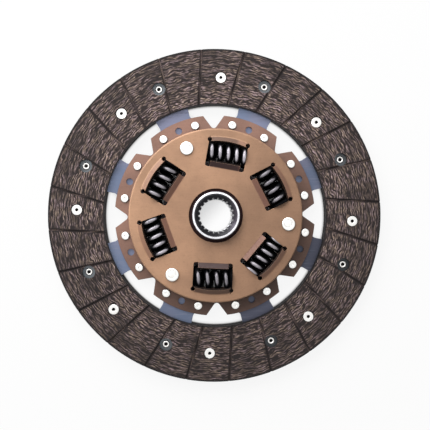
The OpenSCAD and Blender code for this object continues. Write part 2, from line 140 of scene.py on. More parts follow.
class DISC_PG_springs(bpy.types.PropertyGroup):
    """Sizes of the six damper springs."""

    outside: length_property("Outside diameter", "Outside diameter of a coil", 17.0)
    wire: length_property("Wire diameter", "Diameter of the spring wire", 3.8)
    close_turns: FloatProperty(name="Close turns", description="Turns of a close spring", default=5.62)
    wide_turns: FloatProperty(name="Wide turns", description="Turns of a wide spring", default=5.25)
    close_phase: FloatProperty(
        name="Close phase", description="Turn at which a close spring faces up", default=0.65,
    )
    wide_phase: FloatProperty(
        name="Wide phase", description="Turn at which a wide spring faces up", default=0.23,
    )
    sides: IntProperty(name="Wire sides", description="Points round the wire", default=24, min=8)
    steps: IntProperty(name="Steps a turn", description="Rings in one turn of wire", default=56, min=12)


class DISC_PG_rivets(bpy.types.PropertyGroup):
    """Sizes of the rivets' and stop pins' heads."""

    facing_head: length_property("Facing rivet head", "Diameter of a facing rivet's head", 7.4)
    facing_tail: length_property("Facing rivet tail", "Diameter of a facing rivet's rolled tail", 4.9)
    facing_hole: length_property("Facing rivet hole", "Diameter of the hole in a facing rivet", 2.0)
    cushion_head: length_property("Cushion rivet head", "Diameter of a cushion rivet's head", 5.5)
    pin_head: length_property("Stop pin head", "Diameter of a stop pin's head", 9.0)
    around: IntProperty(name="Steps around", description="Points round a head", default=48, min=16)


class DISC_PG_finishes(bpy.types.PropertyGroup):
    """Colours of the finishes."""

    facing_base: colour_property("Facing base", "Dark resin between the fibres", paint(18, 12, 13))
    facing_fibre: colour_property("Facing fibre", "Light fibres in the facings", paint(202, 178, 159))
    facing_fibre_pink: colour_property("Pink fibre", "Pinkish fibres in the facings", paint(194, 169, 175))
    facing_fibre_dark: colour_property("Dark fibre", "Darker fibres in the facings", paint(112, 92, 84))
    plate: colour_property("Plate coat", "Coat of the retaining plate", paint(169, 131, 104))
    # The clutch plate's coat is more purple and darker than the retaining plate's; the darkness is partly
    # painted shade
    plate_dark: colour_property("Dark plate coat", "Coat of the clutch plate", paint(134, 102, 89))
    cushion: colour_property("Blued steel", "Cushion segments", paint(90, 100, 122))
    spring: colour_property("Spring black", "Enamel on the damper springs", paint(12, 12, 14))
    rivet: colour_property("Rivet metal", "Facing and cushion rivets", paint(244, 243, 240))
    hub: colour_property("Hub steel", "Bright machined steel of the hub", paint(226, 226, 230))
    washer: colour_property("Washer", "Moulded friction washers", paint(36, 18, 18))


class DISC_PG_studio(bpy.types.PropertyGroup):
    """Camera, lamps and floor."""

    distance: FloatProperty(
        name="Camera distance", description="From the front face", default=0.65, unit="LENGTH",
    )
    tilt_left: angle_property("Tilt left", "How far the camera stands left of the axis", 2.3)
    tilt_up: angle_property("Tilt up", "How far the camera stands above the axis", 0.4)
    field: angle_property("Field of view", "Camera's angle", 25.2)
    roll: angle_property("Roll", "Turn of the picture", 0.96)
    aim_x: FloatProperty(name="Aim X", description="Point looked at", default=-0.26 * MM, unit="LENGTH")
    aim_y: FloatProperty(name="Aim Y", description="Point looked at", default=0.37 * MM, unit="LENGTH")
    key_watts: FloatProperty(name="Key lamp", description="Power of the soft lamp above", default=25.4)
    spark_watts: FloatProperty(name="Spark lamp", description="Power of the small top lamp", default=0.6)
    side_watts: FloatProperty(name="Side lamp", description="Power of the lamp on the right", default=2.2)
    fill: FloatProperty(name="Fill", description="Light from all round", default=0.13, min=0)


# Shader nodes

class Shader:
    """Builds one material's nodes. A value or another node's socket may be given for any input."""

    def __init__(self, name):
        self.material = bpy.data.materials.new(name)
        self.material.use_nodes = True
        self.tree = self.material.node_tree
        self.tree.nodes.clear()
        self.place = self.put("ShaderNodeTexCoord").outputs["Object"]

    def put(self, kind, inputs=None, **settings):
        made = self.tree.nodes.new(kind)
        for key, value in settings.items():
            setattr(made, key, value)
        for key, value in (inputs or {}).items():
            self.feed(made.inputs[key], value)
        return made

    def feed(self, socket, value):
        if isinstance(value, bpy.types.NodeSocket):
            self.tree.links.new(value, socket)
        elif socket.type == "RGBA":
            socket.default_value = (*value, 1.0)
        else:
            socket.default_value = value

    def math(self, operation, a, b=0.0, c=0.0):
        return self.put("ShaderNodeMath", {0: a, 1: b, 2: c}, operation=operation).outputs[0]

    def plus(self, a, b):
        return self.math("ADD", a, b)

    def minus(self, a, b):
        return self.math("SUBTRACT", a, b)

    def times(self, first, *others):
        for other in others:
            first = self.math("MULTIPLY", first, other)
        return first

    def larger(self, a, b):
        return self.math("MAXIMUM", a, b)

    def size(self, value):
        return self.math("ABSOLUTE", value)

    def step(self, value, low, high, bottom=0.0, top=1.0):
        """Smooth rise from bottom to top while the value goes from low to high."""
        inputs = {0: value, 1: low, 2: high, 3: bottom, 4: top}
        return self.put("ShaderNodeMapRange", inputs, interpolation_type="SMOOTHSTEP").outputs[0]

    def mix(self, factor, a, b, blend="MIX"):
        made = self.put("ShaderNodeMix", data_type="RGBA", blend_type=blend)
        self.feed(made.inputs[0], factor)
        self.feed(made.inputs[6], a)
        self.feed(made.inputs[7], b)
        return made.outputs[2]

    def scaled(self, colour, factor):
        """The colour made factor times as light."""
        return self.mix(1.0, colour, factor, "MULTIPLY")

    def join(self, x, y, z=0.0):
        return self.put("ShaderNodeCombineXYZ", {0: x, 1: y, 2: z}).outputs[0]

    def split(self, vector):
        return self.put("ShaderNodeSeparateXYZ", {0: vector}).outputs

    def length(self, x, y):
        return self.math("SQRT", self.plus(self.times(x, x), self.times(y, y)))

    def axes(self):
        """The point's x, y and z, and its distance from the disc's axis."""
        x, y, z = self.split(self.place)
        return x, y, z, self.length(x, y)

    def toward(self, x, y, way):
        """How far the point lies in one direction of the disc's plane."""
        return self.plus(self.times(x, way[0]), self.times(y, way[1]))

    def dot(self, a, b):
        return self.put("ShaderNodeVectorMath", {0: a, 1: b}, operation="DOT_PRODUCT").outputs["Value"]

    def noise(self, vector, scale, detail=2.0, roughness=0.5):
        inputs = {"Vector": vector, "Scale": scale, "Detail": detail, "Roughness": roughness}
        return self.put("ShaderNodeTexNoise", inputs).outputs["Fac"]

    def noise_at(self, x, y, z=0.0, detail=2.0, roughness=0.5):
        """Noise read at a made-up point; z mostly serves to pick another part of the noise."""
        return self.noise(self.join(x, y, z), 1.0, detail, roughness)

    def openness(self, distance):
        """How open the point is within a distance, from 0 where all is covered to 1."""
        return self.put("ShaderNodeAmbientOcclusion", {"Distance": distance}, samples=12).outputs["AO"]

    def attribute(self, name):
        return self.put("ShaderNodeAttribute", attribute_name=name).outputs["Fac"]

    def stretched(self, vector, scale):
        return self.put("ShaderNodeMapping", {"Vector": vector, "Scale": scale}).outputs[0]

    def bump(self, height, distance, strength=1.0, normal=None):
        inputs = {"Height": height, "Distance": distance, "Strength": strength}
        if normal is not None:
            inputs["Normal"] = normal
        return self.put("ShaderNodeBump", inputs).outputs[0]

    def rounded_edge(self, radius):
        """Normal that rounds the edges, and how near an edge is, from 0 on a flat to 1."""
        soft = self.put("ShaderNodeBevel", {"Radius": radius}, samples=6).outputs[0]
        hard = self.put("ShaderNodeNewGeometry").outputs["True Normal"]
        return soft, self.step(self.dot(soft, hard), 0.995, 0.85)

    def finish(self, **inputs):
        """Ends the tree in one Principled surface."""
        inputs = {key.replace("_", " "): value for key, value in inputs.items()}
        return self.show(self.put("ShaderNodeBsdfPrincipled", inputs))

    def show(self, surface):
        self.put("ShaderNodeOutputMaterial", {"Surface": surface.outputs[0]})
        return self.material


def tinted(factor, colour):
    """The colour made factor times as light."""
    return tuple(factor * v for v in colour)


def facing_material(name, finishes, turned_over):
    """Wound friction lining: frayed strands lie round the disc, broken by slanted grooves.

    A groove follows the tangent of a circle, so angle - asin(GROOVE_CIRCLE / radius) is constant along it.
    Strands lie in rows a fixed spacing apart. A noise read along the row breaks them into dashes, a finer
    one frays their sides, and a slow one bends all rows. Two layers lean a little to either side. On the
    walls, the layers of the winding show instead. Lengths along and across the strands are in millimetres.
    """
    s = Shader(name)
    x, y, z, radius = s.axes()
    angle = s.math("ARCTAN2", y, x)
    if turned_over:
        angle = s.minus(REAR_FACING_TURN, angle)
    slant = s.math("ARCSINE", s.math("DIVIDE", GROOVE_CIRCLE, radius))
    turn = s.math("WRAP", s.minus(s.minus(angle, slant), GROOVE_START), 2 * math.pi, 0.0)
    pad = s.math("DIVIDE", turn, GROOVE_PITCH)
    from_groove = s.times(s.size(s.minus(pad, s.math("ROUND", pad))), s.times(radius, GROOVE_PITCH))
    along = s.times(s.plus(turn, slant), FACING_MIDDLE / MM)
    across = s.times(radius, 1 / MM)
    bend = s.noise_at(s.times(along, 0.13), s.times(across, 0.16), 0.0, 1.5, 0.55)
    bent = s.plus(across, s.times(s.minus(bend, 0.5), 5.0))

    def strands(spacing, lean, seed):
        """Rows one spacing apart that lean a little, each broken into dashes by its own part of a noise."""
        row = s.math("DIVIDE", s.plus(bent, s.times(along, lean)), spacing)
        number = s.math("FLOOR", row)
        off = s.size(s.minus(s.minus(row, number), 0.5))
        read = s.plus(s.times(along, 0.16), s.times(number, 17.3))
        dash = s.noise_at(read, s.times(number, 3.7), seed, 1.0, 0.6)
        fray = s.noise_at(s.times(along, 0.9), s.times(bent, 2.2), seed, 2.0, 0.6)
        width = s.plus(off, s.times(s.minus(fray, 0.5), 0.27))
        return s.times(s.step(dash, 0.39, 0.54), s.step(width, 0.3, 0.07))

    patch = s.noise_at(s.times(along, 0.08), s.times(across, 0.1), 5.0)
    tint = s.noise_at(s.times(along, 0.2), s.times(across, 0.35), 11.0)
    thread = s.noise_at(s.times(along, 0.35), s.times(across, 2.4), 2.0, 2.0, 0.6)
    layers = s.noise_at(s.times(along, 0.45), s.times(z, 2100.0), 9.0, 2.0, 0.6)
    grain = s.noise(s.place, 1500.0, 3.0, 0.7)

    top = s.step(s.size(s.minus(z, MID_Z)), MID_Z - 0.3 * MM, MID_Z - 0.1 * MM)
    outer_rim = s.step(radius, FACING_OUTSIDE - 0.3 * MM, FACING_OUTSIDE - 1.9 * MM)
    inner_rim = s.step(radius, FACING_BORE + 0.2 * MM, FACING_BORE + 1.2 * MM)
    rim = s.times(outer_rim, inner_rim)
    clear = s.times(rim, s.step(from_groove, 0.7 * MM, 1.7 * MM, 0.25, 1.0))
    fibre = s.larger(strands(1.5, 0.05, 0.0), s.times(strands(2.3, -0.1, 20.0), 0.55))
    fibre = s.times(fibre, s.step(patch, 0.34, 0.58, 0.4, 1.0), s.step(thread, 0.32, 0.62, 0.45, 1.0))
    side = s.times(s.step(layers, 0.45, 0.66, 0.0, 0.42), s.minus(1.0, top))
    fibre = s.larger(s.times(fibre, top, clear), side)

    dark, fibre_dark = tuple(finishes.facing_base), tuple(finishes.facing_fibre_dark)
    base = s.mix(s.step(patch, 0.35, 0.65), dark, tinted(1.5, dark))
    base = s.mix(s.step(grain, 0.45, 0.75, 0.0, 0.3), base, fibre_dark)
    pink = s.mix(s.step(tint, 0.38, 0.62), tuple(finishes.facing_fibre), tuple(finishes.facing_fibre_pink))
    colour = s.mix(fibre, base, s.mix(s.step(thread, 0.35, 0.7), fibre_dark, pink))
    inside = s.step(radius, 90 * MM, 85 * MM)
    # Painted shade: darker along the top face's outer and inner edges and on the bore wall
    colour = s.mix(s.times(s.minus(1.0, rim), s.larger(top, inside)), colour, tinted(0.6, dark))
    # Painted light: the facing is lighter toward the top and darker toward the bottom; it is also lighter
    # toward the bore
    painted_light_toward_top = s.step(y, -105 * MM, 105 * MM, 0.86, 1.16)
    lighter_inside = s.step(radius, 78 * MM, 106 * MM, 1.14, 0.88)
    colour = s.scaled(colour, s.times(painted_light_toward_top, lighter_inside))
    normal = s.bump(s.plus(s.times(fibre, 0.7), s.times(grain, 0.5)), 0.12 * MM, 0.8)
    rough = s.step(grain, 0.3, 0.7, 0.6, 0.85)
    return s.finish(Base_Color=colour, Roughness=rough, Normal=normal, Specular_IOR_Level=0.3)


def plate_material(name, coat, painted_light_gradient, toward, painted_edge_tone=2.0):
    """Bronze-brown coat on pressed steel: soft mottling, fine rolled grain, and painted light and shade, on
    the edges too.

    The coat is painted lighter and darker as light and shade: it is the first of two factors times as light
    at one side of the plate, and the second times at the side that toward, a direction in x and y, points
    at. The windows' lips get painted shade, darkest in the two upright windows, and their tips are painted
    black as shade. reach is how far out a point lies along the nearest window's middle, and aside is how far
    it lies beside that line. Edges are as light as the coat times the edge factor: a painted highlight where
    it is above
    1, a painted dark outline of shade where it is below.
    """
    s = Shader(name)
    soft, edge = s.rounded_edge(0.35 * MM)
    cloud = s.noise(s.place, 45.0, 3.0, 0.55)
    speck = s.noise(s.place, 900.0, 3.0, 0.6)
    rolled = s.noise(s.stretched(s.place, (90.0, 1400.0, 400.0)), 1.0, 2.0, 0.6)
    x, y, z, radius = s.axes()
    reach = s.times(x, 0.0)
    for angle in map(math.radians, WINDOW_ANGLES):
        reach = s.larger(reach, s.dot(s.place, (math.cos(angle), math.sin(angle), 0.0)))
    height = s.size(s.minus(z, SPRING_Z))
    aside = s.math("SQRT", s.minus(s.times(radius, radius), s.times(reach, reach)))
    inner_lip = s.times(s.step(reach, 31.3 * MM, 32.2 * MM), s.step(reach, 38 * MM, 37.5 * MM))
    inner_lip = s.times(inner_lip, s.step(aside, 10.4 * MM, 10.1 * MM, 0.0, 0.75))
    outer_lip = s.times(s.step(height, 6.1 * MM, 6.5 * MM), s.step(radius, 47 * MM, 48 * MM, 0.0, 0.5))
    upright = s.step(s.size(x), 18 * MM, 14 * MM)
    painted_lip_shade = s.times(s.larger(inner_lip, outer_lip), s.step(upright, 0.0, 1.0, 1.0, 1.5))
    inner_tip = s.times(s.step(reach, 35.15 * MM, 35.3 * MM), s.step(reach, 37.5 * MM, 37 * MM))
    outer_tip = s.times(s.step(radius, 49.95 * MM, 49.8 * MM), s.step(radius, 47 * MM, 48 * MM))
    painted_tip_shade = s.times(s.larger(inner_tip, outer_tip), s.step(height, 6.05 * MM, 6.15 * MM))

    coat = np.array(coat)
    painted_edge_colour = tuple(np.minimum(coat * painted_edge_tone + 0.02, 1))
    rolled_bright = tuple(np.minimum(coat * 2.0 + 0.02, 1))
    colour = s.mix(s.step(cloud, 0.3, 0.7), tuple(coat * 0.82), tuple(coat * 1.08))
    colour = s.mix(s.step(speck, 0.5, 0.8, 0.0, 0.35), colour, tuple(coat * 0.55))
    colour = s.mix(s.step(rolled, 0.45, 0.8, 0.0, 0.06), colour, rolled_bright)
    # Painted gradient of light and shade across the plate
    colour = s.scaled(colour, s.step(s.toward(x, y, toward), -45 * MM, 60 * MM, *painted_light_gradient))
    # Painted shade on the windows' lips, darkest in the two upright windows, tinted pink
    painted_lip_colour = s.mix(upright, tuple(coat * (0.36, 0.27, 0.36)), tuple(coat * (0.1, 0.08, 0.12)))
    colour = s.mix(painted_lip_shade, colour, painted_lip_colour)
    # Painted edge tone: a highlight on the retaining plate's edges, a dark outline of shade on the clutch
    # plate's
    colour = s.mix(s.times(edge, 0.5), colour, painted_edge_colour)
    # The lips' tips are painted black as shade
    colour = s.mix(s.times(painted_tip_shade, 0.93), colour, paint(14, 10, 10))
    rough = s.plus(s.step(speck, 0.3, 0.7, 0.36, 0.5), s.times(cloud, 0.08))
    normal = s.bump(s.plus(speck, s.times(rolled, 0.2)), 0.02 * MM, 0.5, soft)
    return s.finish(
        Base_Color=colour, Metallic=0.1, Roughness=rough, Normal=normal, Specular_IOR_Level=0.35,
    )


def cushion_material(name, finishes, shade):
    """Heat-blued spring steel with rolling streaks, straw in clouds and past the facings' bore.

    shade says how light the segment is, as painted light and shade.
    """
    s = Shader(name)
    soft, edge = s.rounded_edge(0.25 * MM)
    cloud = s.noise(s.place, 38.0, 2.0, 0.5)
    streak = s.noise(s.stretched(s.place, (60.0, 1100.0, 300.0)), 1.0, 3.0, 0.6)
    radius = s.axes()[3]
    under_facing = s.step(radius, 82 * MM, 86 * MM, 0.0, 0.85)
    blued = tinted(shade, finishes.cushion)
    colour = s.mix(s.step(cloud, 0.35, 0.65), blued, tinted(shade, paint(102, 105, 125)))
    colour = s.mix(s.step(streak, 0.5, 0.8, 0.0, 0.5), colour, paint(140, 140, 156))
    colour = s.mix(under_facing, colour, tinted(0.9 * shade, paint(98, 102, 102)))
    # Painted highlight along the edges
    colour = s.mix(s.times(edge, 0.6), colour, paint(180, 182, 192))
    rough = s.step(streak, 0.3, 0.7, 0.34, 0.5)
    normal = s.bump(streak, 0.008 * MM, 0.5, soft)
    return s.finish(Base_Color=colour, Metallic=0.6, Roughness=rough, Normal=normal)


def spring_material(name, finishes):
    """Black enamel on drawn wire: glossy, a little uneven, with a painted highlight on the crowns of the
    coils.
    """
    s = Shader(name)
    film = s.noise(s.place, 260.0, 3.0, 0.55)
    speck = s.noise(s.place, 2200.0, 2.0, 0.6)
    # Painted highlight: pale paint on the coils' crowns
    painted_highlight = s.times(s.attribute("painted_crown_highlight"), s.step(film, 0.3, 0.6, 0.75, 1.0))
    colour = s.mix(s.step(film, 0.5, 0.75), tuple(finishes.spring), tinted(1.9, finishes.spring))
    colour = s.mix(painted_highlight, colour, paint(212, 206, 214))
    rough = s.plus(s.step(film, 0.3, 0.7, 0.16, 0.28), s.times(speck, 0.06))
    normal = s.bump(s.plus(film, s.times(speck, 0.25)), 0.02 * MM, 0.5)
    return s.finish(
        Base_Color=colour, Metallic=s.times(painted_highlight, 0.5), Roughness=rough, Normal=normal,
        Specular_IOR_Level=0.015, Specular_Tint=(0.3, 0.3, 0.3),
    )


def rivet_material(name, finishes, tint=1.0):
    """Bright plated steel, lightly hammered and stained, with painted shade where a head turns down and in
    its hole.

    tint says how light it is beside the common colour.
    """
    s = Shader(name)
    hammer = s.noise(s.place, 700.0, 2.0, 0.5)
    stain = s.noise(s.place, 240.0, 3.0, 0.6)
    up = s.split(s.put("ShaderNodeNewGeometry").outputs["Normal"])[2]
    painted_side_shade = s.step(s.size(up), 0.95, 0.55, 0.0, 0.85)
    colour = s.mix(s.step(stain, 0.45, 0.8, 0.0, 0.4), tinted(tint, finishes.rivet), paint(184, 176, 168))
    # Painted shade where a head turns down
    colour = s.mix(painted_side_shade, colour, paint(84, 72, 66))
    # Painted shade in the rivet's hole
    colour = s.mix(s.attribute("painted_hole_shade"), colour, paint(18, 16, 16))
    rough = s.step(stain, 0.3, 0.7, 0.2, 0.36)
    normal = s.bump(hammer, 0.05 * MM, 0.5)
    return s.finish(Base_Color=colour, Metallic=0.9, Roughness=rough, Normal=normal)


def hub_material(name, finishes):
    """Machined steel: turning marks round the axis, a bright ring, and painted shade on the chamfer and the
    spline spaces inside it, lighter to the right.

    The ring is centred a little off the axis. Outside it the boss's edge gets painted shade, and the flange
    is painted dark as shade.
    """
    s = Shader(name)
    soft, edge = s.rounded_edge(0.2 * MM)
    x, y, z, radius = s.axes()
    rings = s.noise_at(s.times(radius, 5200.0), s.times(z, 900.0), 0.0, 2.0, 0.6)
    cloud = s.noise(s.place, 180.0, 3.0, 0.6)
    painted_flange_shade = s.step(radius, 16.6 * MM, 16.3 * MM)
    ring = s.length(s.minus(x, HUB_RING_CENTRE[0]), s.minus(y, HUB_RING_CENTRE[1]))
    # Painted shade on the chamfer and the spline spaces, lighter to the right
    painted_cone_shade = s.times(s.step(ring, 14.5 * MM, 14.35 * MM), s.step(radius, 10.75 * MM, 11.05 * MM))
    painted_boss_shade = s.step(ring, 15.5 * MM, 15.7 * MM)
    painted_cone_colour = s.mix(s.step(x, 7 * MM, 14 * MM), paint(8, 6, 14), paint(76, 70, 80))
    colour = s.mix(s.step(cloud, 0.4, 0.75, 0.0, 0.5), tuple(finishes.hub), paint(170, 168, 172))
    colour = s.mix(s.times(painted_cone_shade, 0.96), colour, painted_cone_colour)
    # Painted shade on the boss's edge outside the bright ring
    colour = s.mix(s.times(painted_boss_shade, 0.94), colour, paint(30, 13, 15))
    # Painted highlight along the edges
    colour = s.mix(s.times(edge, 0.4), colour, paint(236, 236, 240))
    # The flange is painted dark as shade
    colour = s.mix(painted_flange_shade, paint(24, 19, 20), colour)
    rough = s.step(rings, 0.3, 0.7, 0.22, 0.38)
    normal = s.bump(rings, 0.03 * MM, 0.5, soft)
    return s.finish(Base_Color=colour, Metallic=0.9, Roughness=rough, Normal=normal)


def washer_material(name, finishes):
    """Moulded friction washer: dark, matt and slightly grainy."""
    s = Shader(name)
    grain = s.noise(s.place, 1300.0, 3.0, 0.65)
    colour = s.mix(s.step(grain, 0.4, 0.75), tuple(finishes.washer), tinted(1.7, finishes.washer))
    rough = s.step(grain, 0.3, 0.7, 0.6, 0.85)
    normal = s.bump(grain, 0.05 * MM)
    return s.finish(Base_Color=colour, Roughness=rough, Normal=normal, Specular_IOR_Level=0.15)


def floor_material(name):
    """White floor that keeps the disc's shadow.

    Seen or mirrored it is plain white where nothing stands near, and lit paper where the disc shades it.
    The white fades close to a part that touches the floor and along the facings' bore, where a painted
    shadow line darkens the paper and reaches further in on the left. Inside the hub's bore painted shade
    makes it paler at the right.
    """
    s = Shader(name)
    x, y, _, radius = s.axes()
    grain = s.noise(s.place, 9.0, 2.0)

    # Painted shadow along the facings' bore, further in on the left
    leftward = s.step(s.toward(x, y, (0.94, 0.34)), 55 * MM, -75 * MM)
    reach = s.plus(radius, s.times(leftward, 0.9 * MM))
    line = s.step(reach, FACING_BORE - 0.6 * MM, FACING_BORE + 0.4 * MM, 1.0, 0.05)
    fade = s.step(reach, FACING_BORE - 2 * MM, FACING_BORE - 0.5 * MM, 1.0, 0.8)
    rim_painted_shadow = s.larger(s.times(line, fade), s.step(radius, 79 * MM, 80 * MM))

    whitest = s.step(radius, 0.25, 0.9, 0.9, 1.0)
    unshaded = s.step(s.openness(80 * MM), 0.07, 0.2, 0.0, whitest)
    apart = s.step(s.openness(2.5 * MM), 0.5, 0.85, 0.2, 1.0)
    white_part = s.times(unshaded, apart, rim_painted_shadow)
    in_bore = s.step(radius, 20 * MM, 19 * MM)
    # Painted shade inside the hub's bore: paler at the right, darker near the bore's edge
    bore_painted_shade = s.step(s.minus(x, y), -15 * MM, 8 * MM, 0.6, 0.97)
    bore_painted_shade = s.times(bore_painted_shade, s.step(radius, 10.4 * MM, 11.4 * MM, 1.0, 0.25))
    white_part = s.plus(white_part, s.times(in_bore, s.minus(bore_painted_shade, white_part)))

    rays = s.put("ShaderNodeLightPath").outputs
    seen = s.larger(s.larger(rays["Is Camera Ray"], rays["Is Glossy Ray"]), rays["Is Transmission Ray"])
    plain = s.mix(grain, (0.9, 0.9, 0.9), (0.93, 0.93, 0.93))
    paper = s.put("ShaderNodeBsdfDiffuse", {"Color": s.mix(rim_painted_shadow, (0.06, 0.05, 0.05), plain)})
    white = s.put("ShaderNodeEmission", {"Color": (1, 1, 1), "Strength": 1.0})
    inputs = {0: s.times(seen, white_part), 1: paper.outputs[0], 2: white.outputs[0]}
    return s.show(s.put("ShaderNodeMixShader", inputs))


def dress(node, material):
    """Gives a CAD node one material in its one slot."""
    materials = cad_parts[node].data.materials
    materials.clear()
    materials.append(material)


# Surfaces on parameter grids

def grid_mesh(name, grids, caps=(), shade=None):
    """One mesh of closed surfaces. A grid is (rings, points round, 3); each ring closes and joins the next.

    Two end rings are covered by one flat face each where caps says so. Points that coincide, as at a pole,
    are merged, and the faces are turned outwards. shade names an attribute and gives its value on every
    grid's points.
    """
    points, quads, ends, start = [], [], [], 0
    for number, grid in enumerate(grids):
        rows, around = grid.shape[:2]
        i = np.arange(rows - 1)[:, None] * around
        j = np.arange(around)[None, :]
        k = (j + 1) % around
        quads.append(np.stack([i + j, i + k, i + around + k, i + around + j], -1).reshape(-1, 4) + start)
        if number in caps:
            ends.append((start + np.arange(around)[::-1]).tolist())
            ends.append((start + (rows - 1) * around + np.arange(around)).tolist())
        points.append(grid.reshape(-1, 3))
        start += rows * around
    mesh = bpy.data.meshes.new(name)
    mesh.from_pydata(np.concatenate(points).tolist(), [], np.concatenate(quads).tolist() + ends)
    if shade:
        value = np.concatenate([np.broadcast_to(shade[1], grid.shape[:2]).ravel() for grid in grids])
        mesh.attributes.new(shade[0], "FLOAT", "POINT").data.foreach_set("value", value.astype(np.float32))
    work = bmesh.new()
    work.from_mesh(mesh)
    bmesh.ops.remove_doubles(work, verts=work.verts, dist=1e-7)
    bmesh.ops.dissolve_degenerate(work, edges=work.edges, dist=1e-8)
    bmesh.ops.recalc_face_normals(work, faces=work.faces)
    work.to_mesh(mesh)
    work.free()
    mesh.polygons.foreach_set("use_smooth", np.ones(len(mesh.polygons), bool))
    mesh.set_sharp_from_angle(angle=SHARP_ANGLE)
    thing = bpy.data.objects.new(name, mesh)
    bpy.context.scene.collection.objects.link(thing)
    return thing


def softened(rounded, steps=5):
    """A profile with its corners rounded, from corners (r, z, rounding) in millimetres.

    Each corner turns into a quadratic curve that starts and ends one rounding away from it.
    """
    rounded = np.array(rounded, float)
    corners, radii = rounded[:, :2], rounded[:, 2]
    t = np.linspace(0, 1, steps)[:, None]
    pieces = [corners[:1]]
    for before, at, after, radius in zip(corners[:-2], corners[1:-1], corners[2:], radii[1:-1]):
        if radius <= 0:
            pieces.append(at[None])
            continue
        back, on = before - at, after - at
        start = at + back * min(radius / np.linalg.norm(back), 0.5)
        end = at + on * min(radius / np.linalg.norm(on), 0.5)
        pieces.append((1 - t) ** 2 * start + 2 * t * (1 - t) * at + t ** 2 * end)
    pieces.append(corners[-1:])
    return np.concatenate(pieces) * MM


def turned(profile, centre, around):
    """Surface of revolution: the profile's (r, z) at each angle a gives centre + (r cos a, r sin a, z)."""
    a = np.linspace(0, 2 * np.pi, around, endpoint=False)[None, :]
    r = profile[:, 0][:, None]
    z = np.repeat(profile[:, 1][:, None], around, 1)
    return np.stack([centre[0] + r * np.cos(a), centre[1] + r * np.sin(a), z], -1)


def on_circle(radius, degrees):
    """Points on a circle about the axis."""
    a = np.radians(np.asarray(degrees, float))
    return np.stack([radius * np.cos(a), radius * np.sin(a)], -1)


def coil(turns, phase, outside, wire, length, sides, steps):
    """Helical spring along Y with closed and ground ends, and how strong a painted highlight is at each
    point.

    At turn t the wire's centre has risen by a function of t that climbs slowly for 0.9 turn, then steadily.
    Round the section, a point is at out = mean radius + w cos a and up = rise + w sin a; a starts and ends
    where the section meets the ground plane, so the wire is cut flat there. The second half is the first,
    turned over. The painted highlight is full on the coil's outside, facing up and a little aside, and fades
    with depth below the outside and with the turn.
    """
    w = wire / 2
    mean = outside / 2 - w
    closed_turns = 0.9
    closed_gap = 0.15 * MM
    closed_pitch = wire + closed_gap
    ground = w - 0.75 * closed_pitch
    half = length / 2
    open_pitch = (half - ground - closed_pitch * closed_turns) / (turns / 2 - closed_turns)
    t = np.linspace(0, turns, int(math.ceil(turns * steps)) + 1)[:, None]
    first = t < turns / 2
    near = np.where(first, t, turns - t)
    rise = closed_pitch * np.minimum(near, closed_turns) + open_pitch * np.maximum(0, near - closed_turns)
    rise = ground + rise
    full = math.radians(90 - 180 / sides)
    dip = np.arcsin(np.clip(rise / w, -1, math.sin(full)))
    j = np.arange(sides)[None, :]
    place = np.where(first, j, (j + sides // 2) % sides)
    a = -dip + place * (math.pi + 2 * dip) / (sides - 1)
    out = mean + np.where(first, 1, -1) * w * np.cos(a)
    up = rise + w * np.sin(a)
    along = np.where(first, up - half, half - up)
    swing = 2 * math.pi * (t - phase)
    crown_aside = 0.09
    crown_depth = 0.4 * MM
    crown_width = 0.17
    crown_full = 0.62
    below = (outside / 2 - out) / crown_depth
    turned_away = (1 - np.abs(np.cos(swing + crown_aside))) / crown_width
    painted_crown_highlight = np.clip(1 - below - turned_away, 0, crown_full) / crown_full
    return np.stack([out * np.sin(swing), along, out * np.cos(swing)], -1), painted_crown_highlight


# Operators, one for each piece or group of like pieces

class DISC_OT_facings(bpy.types.Operator):
    """Finishes both friction facings."""

    bl_idname = "disc.facings"
    bl_label = "Friction facings"

    def execute(self, context):
        finishes = context.scene.disc_finishes
        dress("front_facing", facing_material("friction_facing", finishes, False))
        dress("rear_facing", facing_material("friction_facing_rear", finishes, True))
        return {"FINISHED"}


class DISC_OT_plates(bpy.types.Operator):
    """Finishes the clutch plate and the retaining plate."""

    bl_idname = "disc.plates"
    bl_label = "Plates"

    def execute(self, context):
        finishes = context.scene.disc_finishes
        # Each plate gets a painted gradient of light and shade; the clutch plate's edges a painted dark
        # outline of shade
        dark = plate_material("coated_plate_dark", finishes.plate_dark, (1.3, 0.42), (0.6, -0.8), 0.1)
        dress("clutch_plate", dark)
        light = plate_material("coated_plate", finishes.plate, (1.22, 0.75), (0.94, -0.34))
        dress("retaining_plate", light)
        return {"FINISHED"}


class DISC_OT_cushions(bpy.types.Operator):
    """Finishes the eight cushion segments and the cone spring washer."""

    bl_idname = "disc.cushions"
    bl_label = "Cushion segments"

    def execute(self, context):
        finishes = context.scene.disc_finishes
        for k, shade in enumerate(CUSHION_PAINTED_SHADING, 1):
            dress(f"cushion_segment_{k}", cushion_material(f"blued_spring_steel_{k}", finishes, shade))
        dress("cone_spring_washer", cushion_material("blued_spring_steel", finishes, 1.0))
        return {"FINISHED"}


class DISC_OT_hub(bpy.types.Operator):
    """Finishes the hub and the friction washers."""

    bl_idname = "disc.hub"
    bl_label = "Hub and washers"

    def execute(self, context):
        finishes = context.scene.disc_finishes
        dress("hub", hub_material("hub_steel", finishes))
        washer = washer_material("friction_washer", finishes)
        dress("front_friction_washer", washer)
        dress("rear_friction_washer", washer)
        return {"FINISHED"}


